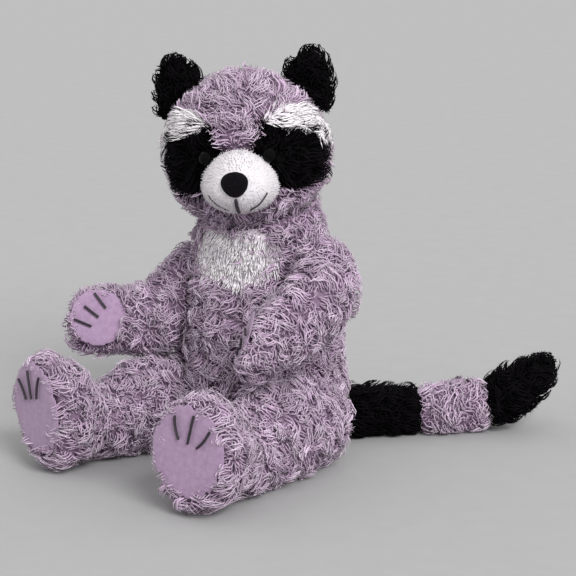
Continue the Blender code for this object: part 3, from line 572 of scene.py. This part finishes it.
def strand_mesh(name, blocks):
    """One mesh of all the strands, each with its own cell of the map."""
    total = sum(len(corners) for corners, *_ in blocks)
    grid = math.ceil(math.sqrt(total))
    points, faces, places, shades = [], [], [], []
    strands = used = 0
    for corners, template, spots, shade in blocks:
        count, size = corners.shape[:2]
        numbers = strands + np.arange(count)
        cell = np.stack([numbers % grid, numbers // grid], axis=1)
        points.append(corners.reshape(-1, 3))
        faces.append((used + np.arange(count)[:, None, None] * size + template).reshape(-1, 3))
        inset = CELL_MARGIN + (1 - 2 * CELL_MARGIN) * spots
        places.append(((cell[:, None, None] + inset) / grid).reshape(-1, 2))
        shades.append(shade.reshape(-1, 4))
        strands += count
        used += count * size
    faces = np.concatenate(faces).astype(np.int32)
    mesh = bpy.data.meshes.new(name)
    mesh.vertices.add(used)
    mesh.vertices.foreach_set("co", np.concatenate(points).astype(np.float32).ravel())
    mesh.loops.add(faces.size)
    mesh.loops.foreach_set("vertex_index", faces.ravel())
    mesh.polygons.add(len(faces))
    mesh.polygons.foreach_set("loop_start", np.arange(0, faces.size, 3, dtype=np.int32))
    mesh.update(calc_edges=True)
    flat = np.concatenate(places).astype(np.float32)
    mesh.uv_layers.new(name=MAP_NAME).uv.foreach_set("vector", flat.ravel())
    colours = mesh.color_attributes.new(STRAND, "FLOAT_COLOR", "POINT")
    colours.data.foreach_set("color", np.concatenate(shades).astype(np.float32).ravel())
    mesh.validate()
    return mesh


class Coat:
    """The pile of one piece: how long, thick and curly it is, and which way it is combed."""

    def __init__(self, comb, **changes):
        self.comb = comb
        self.slot = "grey_pile"
        self.finish = None
        self.rings = 6
        self.reach = 0.7 * MM
        self.spacing = 2.15 * MM
        self.under_spacing = 1.65 * MM
        self.under_length = 5 * MM
        self.under_radius = 1.4 * MM
        self.length = 15 * MM
        self.lift = 6.5 * MM
        self.unevenness = 1.0
        self.rise = 1.7
        self.radius = 0.62 * MM
        # How far the strand's tip goes toward the painted highlight
        self.paleness = 1.0
        self.swirl = 1.0
        self.swirl_size = 20 * MM
        self.stray = 0.4
        self.bend = 1.3
        self.curl = 0.95
        self.waves = 1.0
        self.ripple = 0.8 * MM
        self.clump = 0.5
        self.lock_size = 2.6
        self.frizz = 0.06 * MM
        self.keep_off = ()
        self.clearance = 0.6 * MM
        self.seed = 1
        self.replaced = ()
        self.yields = None
        for key, value in changes.items():
            if not hasattr(self, key):
                raise ValueError(key)
            setattr(self, key, value)

    def under(self):
        """The short dense pile below the curls."""
        low = copy.copy(self)
        low.rings = 1
        low.spacing = self.under_spacing
        low.length = self.under_length
        low.lift = self.lift * UNDER_LIFT
        low.radius = self.under_radius
        low.clump = UNDER_CLUMP
        low.paleness = UNDER_PALENESS
        low.seed = self.seed + UNDER_SEED
        return low


def grow(name, coat, tree, points, normals):
    """The pile piece of a coat on the chosen spots of a cloth: curls over a short dense pile."""
    blocks = []
    for layer in (coat, coat.under()):
        dice = np.random.default_rng(layer.seed)
        kept = thinned(points, layer.spacing)
        roots, ups = points[kept], normals[kept]
        guides = thinned(roots, layer.spacing * layer.lock_size)
        lock = nearest_of(roots, roots[guides])
        lines = strand_lines(layer, tree, roots, ups, guides, lock, dice)
        blocks.append(strand_block(layer, lines, lock, dice))
    mesh = strand_mesh(name, blocks)
    print(f"{name}: {[len(block[0]) for block in blocks]} strands, {len(mesh.polygons)} triangles")
    return add_piece(name, mesh, MATERIALS[coat.finish or coat.slot], coat.replaced)


def pile_parts(name, points):
    """Which spots each pile of a coat takes: the torso's pile is in two pieces, front and back."""
    if name != "torso":
        return {f"{name}_pile": np.ones(len(points), bool)}
    front = points[:, 1] < TORSO[1]
    return {"torso_front_pile": front, "torso_back_pile": ~front}


def patch_cloth(name, host_mesh, owned, slot):
    """A thin closed cloth over the owned faces of its host's cloth."""
    body = bmesh.new()
    body.from_mesh(host_mesh)
    body.faces.ensure_lookup_table()
    lost = [f for f, own in zip(body.faces, owned) if not own]
    bmesh.ops.delete(body, geom=lost, context="FACES")
    bmesh.ops.solidify(body, geom=body.faces[:], thickness=-PATCH_THICKNESS)
    bmesh.ops.recalc_face_normals(body, faces=body.faces)
    mesh = bpy.data.meshes.new(name)
    body.to_mesh(mesh)
    body.free()
    return add_piece(name, mesh, BACKING[slot])


def dress(host, coats, neighbours, sink, bare=(), voxel=3 * MM, ironing=14):
    """The stuffed cloth of a node and its pile.

    Patches have coats of their own, and the bare pieces and the joins with neighbours have none.
    """
    own = coats[host]
    mesh = smoothed_mesh(host, voxel, ironing, sink)
    cloth = add_piece(host + "_cloth", mesh, BACKING[own.slot], (host,))
    tree = tree_of_mesh(mesh)
    dice = np.random.default_rng(own.seed + SPOT_SEED)
    points, normals = scattered(mesh, min(c.spacing for c in coats.values()), dice)

    def owner_of(spots, ups, margin=0.0):
        """The coat that each spot wears."""
        owner = np.full(len(spots), host, dtype=object)
        for other in coats:
            if other != host:
                reach = coats[other].reach + margin
                owner[in_or_near(spots + ups * PATCH_PROBE, other, reach)] = other
        for name, coat in coats.items():
            if coat.yields:
                middle, radius, heir = coat.yields
                near = np.linalg.norm(spots - middle, axis=1) < radius
                owner[(owner == name) & near] = heir
        return owner

    owner = owner_of(points, normals)
    for other in bare:
        for height in BARE_PROBES:
            owner[in_or_near(points + normals * height, other, 0)] = other
    for other in neighbours:
        owner[in_or_near(points + normals * COVERED_ABOVE, other, 0)] = other
    for name, coat in coats.items():
        for label, part in pile_parts(name, points).items():
            chosen = (owner == name) & part
            grow(label, coat, tree, points[chosen], normals[chosen])
    if len(coats) == 1:
        return
    faces = np.array([face.center for face in mesh.polygons])
    ups = np.array([face.normal for face in mesh.polygons])
    face_owner = owner_of(faces, ups, PATCH_MARGIN)
    for name, coat in coats.items():
        if name != host and (face_owner == name).any():
            patch_cloth(name + "_cloth", mesh, face_owner == name, coat.slot)


# Which way the pile is combed

DOWN = np.array((0.0, 0.0, -1.0))
HEAD = centre_of("head")
MUZZLE = centre_of("muzzle")
TORSO = centre_of("torso")
FACE_AHEAD = unit((MUZZLE - HEAD) * (1, 1, 0))
FACE_LEFT = np.cross(FACE_AHEAD, DOWN)

# The face's pile parts at a spot this far above the muzzle's middle and as far behind it
PARTING = 12 * MM

# From in front of the head's middle to behind it, the pile turns from that spot to straight down
CROWN = (-8 * MM, 25 * MM)

# The brow turns down over this length of its outer end
BROW_END = 22 * MM

# A limb's pile heads for a spot this far past its pad
PAST_PAD = 35 * MM


def outward_from(middle, points):
    """Level directions away from an upright axis."""
    return unit((points - middle) * (1, 1, 0))


def comb_torso(points, normals):
    return DOWN + 0.35 * outward_from(TORSO, points)


def comb_bib(points, normals):
    return DOWN + 0.25 * outward_from(TORSO, points)


def comb_head(points, normals):
    """Away from the top of the muzzle in front, and down behind."""
    away = unit(points - (MUZZLE + np.array((0, 0, PARTING)) - FACE_AHEAD * PARTING))
    behind = eased((HEAD - points) @ FACE_AHEAD, *CROWN)[:, None]
    return away * (1 - behind) + DOWN * behind


def comb_mask(eye):
    """Away from the eye, and a little upward."""
    return lambda points, normals: unit(points - eye) - 0.25 * DOWN


def comb_brow(side, middle):
    """Outward along the brow, and down at its outer end."""
    outward = FACE_LEFT * side

    def comb(points, normals):
        end = eased((points - middle) @ (outward - FACE_AHEAD), 0, BROW_END)[:, None]
        return outward * (1 - 0.6 * end) - FACE_AHEAD * 0.6 * (1 - end) + DOWN * (0.25 + 0.9 * end)

    return comb


def comb_ear(points, normals):
    return np.tile(-DOWN, (len(points), 1))


def comb_limb(pad):
    """Along the limb, towards a spot past its pad."""
    end = centre_of(pad)
    start = TORSO * (1, 1, 0) + np.array((0, 0, end[2]))
    target = end + unit(end - start) * PAST_PAD
    return lambda points, normals: unit(target - points)


def comb_tail(points, normals):
    along = unit(centre_of("tail_tip_black") - centre_of("tail_base_black"))
    return np.tile(along, (len(points), 1))


def comb_muzzle(points, normals):
    return -FACE_AHEAD + 0.4 * unit(points - MUZZLE)


# The coats that differ from the curly grey one
BLACK = dict(slot="black_pile", radius=0.6 * MM, swirl=0.4, bend=0.5, curl=0.25, ripple=0.3 * MM)
WHITE = dict(
    slot="white_pile",
    rings=4,
    radius=0.75 * MM,
    swirl=0.2,
    stray=0.08,
    bend=0.2,
    curl=0.2,
    ripple=0.1 * MM,
    unevenness=0.15,
    spacing=1.3 * MM,
    under_spacing=1.05 * MM,
    under_radius=1.5 * MM,
    clump=0.05,
)

# Short upright nap of the muzzle
NAP = dict(
    slot="white_velour",
    # The nap's greyer white is painted shade against the strong light on the muzzle
    finish="white_nap",
    rings=2,
    radius=0.3 * MM,
    under_radius=0.35 * MM,
    length=2.2 * MM,
    under_length=1.5 * MM,
    lift=1.1 * MM,
    spacing=1.4 * MM,
    under_spacing=1.3 * MM,
    swirl=0.3,
    bend=0.2,
    curl=0,
    ripple=0,
    clump=0,
)

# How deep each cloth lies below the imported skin, to leave room for its pile
BODY_SINK = 3.2 * MM
LIMB_SINK = 2.8 * MM
TAIL_SINK = 2 * MM
EAR_SINK = 1.6 * MM

# The black pile takes the end of the brow that lies this near the middle of the eye
BROW_TO_EYE = 18.5 * MM

# Each limb: its pad, the length of its pile, what it joins, and its first seed
LIMBS = (
    ("arm", "palm_pad", 13 * MM, ("torso", "head"), 31),
    ("leg", "sole_pad", 14 * MM, ("torso",), 41),
)
TAIL = ("tail_base_black", "tail_middle_grey", "tail_tip_black")


def dress_head():
    inset = [f"{part}_{side}" for part in ("eye", "eye_patch", "brow_patch") for side in HANDS]
    coats = {
        "head": Coat(
            comb_head,
            keep_off=("muzzle", *inset),
            clearance=1.6 * MM,
            swirl=0.4,
            stray=0.3,
            bend=0.8,
            curl=0.9,
            waves=1.2,
            length=14 * MM,
            seed=11,
        ),
    }
    for side, sign in zip(HANDS, (1, -1)):
        eye, mask, brow = (f"{part}_{side}" for part in ("eye", "eye_patch", "brow_patch"))
        coats[mask] = Coat(
            comb_mask(centre_of(eye)),
            keep_off=("muzzle", eye, brow),
            clearance=0.2 * MM,
            reach=2.8 * MM,
            length=9 * MM,
            lift=6.5 * MM,
            seed=12 + sign,
            replaced=(mask,),
            **BLACK,
        )
        coats[brow] = Coat(
            comb_brow(sign, centre_of(brow)),
            reach=1.2 * MM,
            yields=(centre_of(eye), BROW_TO_EYE, mask),
            length=12 * MM,
            lift=7 * MM,
            seed=15 + sign,
            replaced=(brow,),
            **WHITE,
        )
    bare = ("muzzle", "eye_left", "eye_right")
    dress("head", coats, ("torso", "ear_left", "ear_right"), BODY_SINK, bare)


def dress_torso():
    bib = Coat(
        comb_bib,
        reach=1 * MM,
        length=9 * MM,
        lift=4 * MM,
        seed=22,
        replaced=("chest_bib",),
        **WHITE,
    )
    coats = {"torso": Coat(comb_torso, seed=21, bend=1.7), "chest_bib": bib}
    joined = ("arm_left", "arm_right", "leg_left", "leg_right", "tail_base_black", "head")
    dress("torso", coats, joined, BODY_SINK)


def dress_limbs():
    for number, side in enumerate(HANDS):
        for limb, pad, length, joined, seed in LIMBS:
            name, end = f"{limb}_{side}", f"{pad}_{side}"
            coat = Coat(comb_limb(end), keep_off=(end,), length=length, lift=6 * MM, seed=seed + number)
            dress(name, {name: coat}, joined, LIMB_SINK, (end,))


def dress_tail():
    for number, name in enumerate(TAIL):
        look = dict(swirl=0.4) if "grey" in name else BLACK
        coat = Coat(comb_tail, length=13 * MM, lift=5 * MM, seed=51 + number, **look)
        joined = tuple(other for other in TAIL if other != name) + ("torso",)
        dress(name, {name: coat}, joined, TAIL_SINK, voxel=2.2 * MM, ironing=8)


def dress_ears():
    for number, side in enumerate(HANDS):
        name = f"ear_{side}"
        seed = 61 + number
        coat = Coat(comb_ear, length=9 * MM, lift=4.5 * MM, under_length=3 * MM, seed=seed, **BLACK)
        dress(name, {name: coat}, ("head", f"brow_patch_{side}"), EAR_SINK, voxel=1.8 * MM, ironing=4)


# Smooth sewn pieces

# The nap leaves this much room around a thread or the nose
NAP_RISE = 0.5 * MM

# The mouth's thread is fuller than its solid; the right smile's is finer and lies deep in the nap
MOUTH_FULLER = 0.35 * MM
SMILE_FINER = 0.1 * MM
SMILE_DEPTH = 0.75 * MM
THREAD_VOXEL = 0.3 * MM
THREAD_IRONING = 3

# The pads' cloth is drawn in under the stitches
PUCKER_DEPTH = 0.5 * MM
PUCKER_WIDTH = 1.8 * MM


def smooth_piece(name, slot, voxel, rounds, label, sink=0.0):
    mesh = smoothed_mesh(name, voxel, rounds, sink)
    return add_piece(label, mesh, MATERIALS[slot], (name,))


def pucker(piece, stitches):
    """Draws the cloth in under its stitches."""
    trees = [packed_tree(name) for name in stitches]
    for vertex in piece.data.vertices:
        near = min(tree.find_nearest(vertex.co)[3] for tree in trees)
        vertex.co -= vertex.normal * PUCKER_DEPTH * math.exp(-((near / PUCKER_WIDTH) ** 2))


def dress_face():
    muzzle = smooth_piece("muzzle", "white_velour", 1.5 * MM, 8, "muzzle_velour")
    nap = Coat(comb_muzzle, seed=71, **NAP)
    dice = np.random.default_rng(nap.seed)
    points, normals = scattered(muzzle.data, nap.spacing, dice)
    covered = in_or_near(points + normals * COVERED_ABOVE, "head", 0)
    for name in ("nose", "mouth_line", "smile_stitch_left"):
        covered |= in_or_near(points + normals * NAP_RISE, name, NAP_RISE)
    grow("muzzle_nap", nap, tree_of_mesh(muzzle.data), points[~covered], normals[~covered])
    smooth_piece("nose", "black_velvet", 0.7 * MM, 5, "nose_velvet")
    thread = ("black_thread", THREAD_VOXEL, THREAD_IRONING)
    smooth_piece("mouth_line", *thread, "mouth_thread", -MOUTH_FULLER)
    smile = smooth_piece("smile_stitch_right", *thread, "smile_thread_right", SMILE_FINER)
    for vertex in smile.data.vertices:
        vertex.co += (Vector(MUZZLE) - vertex.co).normalized() * SMILE_DEPTH


def dress_pads():
    for side in HANDS:
        for pad, stitch in (("palm_pad", "palm_stitch"), ("sole_pad", "toe_stitch")):
            piece = smooth_piece(f"{pad}_{side}", "mauve_suede", 1.1 * MM, 6, f"{pad}_{side}_suede")
            pucker(piece, [f"{stitch}_{side}_{number}" for number in (1, 2, 3)])


def paint_kept_nodes():
    """The threads, eyes and washers stay as packed, and take their finish here."""
    slots = {"eye_washer": "washer_plastic", "eye": "eye_gloss"}
    for name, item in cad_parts.items():
        if item.hide_render:
            continue
        stem = name.removesuffix("_left").removesuffix("_right")
        slot = slots.get(stem, "black_thread")
        item.data.materials.clear()
        item.data.materials.append(MATERIALS[slot])


# Stage


def set_camera():
    a, e = CAMERA_AZIMUTH, CAMERA_ELEVATION
    right = Vector((math.cos(a), math.sin(a), 0))
    ahead = Vector((-math.sin(a) * math.cos(e), math.cos(a) * math.cos(e), -math.sin(e)))
    up = right.cross(ahead)
    lens = bpy.data.cameras.new("camera")
    lens.sensor_width = SENSOR
    lens.lens = SENSOR * CAMERA_DISTANCE / (IMAGE_PIXELS * PIXEL)
    camera = bpy.data.objects.new("camera", lens)
    bpy.context.scene.collection.objects.link(camera)
    turn = Matrix((right, up, -ahead)).transposed().to_4x4()
    camera.matrix_world = Matrix.Translation(CAMERA_TARGET - ahead * CAMERA_DISTANCE) @ turn
    bpy.context.scene.camera = camera


def set_floor():
    body = bmesh.new()
    bmesh.ops.create_circle(body, cap_ends=True, radius=FLOOR_RADIUS, segments=64)
    mesh = bpy.data.meshes.new("floor")
    body.to_mesh(mesh)
    body.free()
    floor = bpy.data.objects.new("floor", mesh)
    bpy.context.scene.collection.objects.link(floor)
    material, tree, shader = shader_nodes("floor_paper")
    tone = tuple(0.97 * c for c in FLOOR_COLOUR)
    colour = ramp(tree, noise_value(tree, 60), ((0.3, FLOOR_COLOUR), (0.7, tone)))
    tree.links.new(colour, shader.inputs["Base Color"])
    shader.inputs["Roughness"].default_value = 0.95
    shader.inputs["Specular IOR Level"].default_value = 0.1
    mesh.materials.append(material)


def set_lights():
    """A pale room and one broad key light."""
    world = bpy.data.worlds.new("studio")
    world.use_nodes = True
    sky = world.node_tree.nodes["Background"]
    sky.inputs["Color"].default_value = (1, 1, 1, 1)
    sky.inputs["Strength"].default_value = WORLD_LEVEL
    bpy.context.scene.world = world
    lamp = bpy.data.lights.new("key", "SUN")
    lamp.energy = KEY_LEVEL
    lamp.angle = KEY_SPREAD
    key = bpy.data.objects.new("key", lamp)
    bpy.context.scene.collection.objects.link(key)
    level = math.cos(KEY_ELEVATION)
    source = (math.sin(KEY_AZIMUTH) * level, -math.cos(KEY_AZIMUTH) * level, math.sin(KEY_ELEVATION))
    key.rotation_euler = Vector(source).to_track_quat("Z", "Y").to_euler()


set_camera()
set_floor()
set_lights()
dress_head()
dress_torso()
dress_limbs()
dress_tail()
dress_ears()
dress_face()
dress_pads()
paint_kept_nodes()
bpy.context.scene.view_settings.view_transform = "Standard"
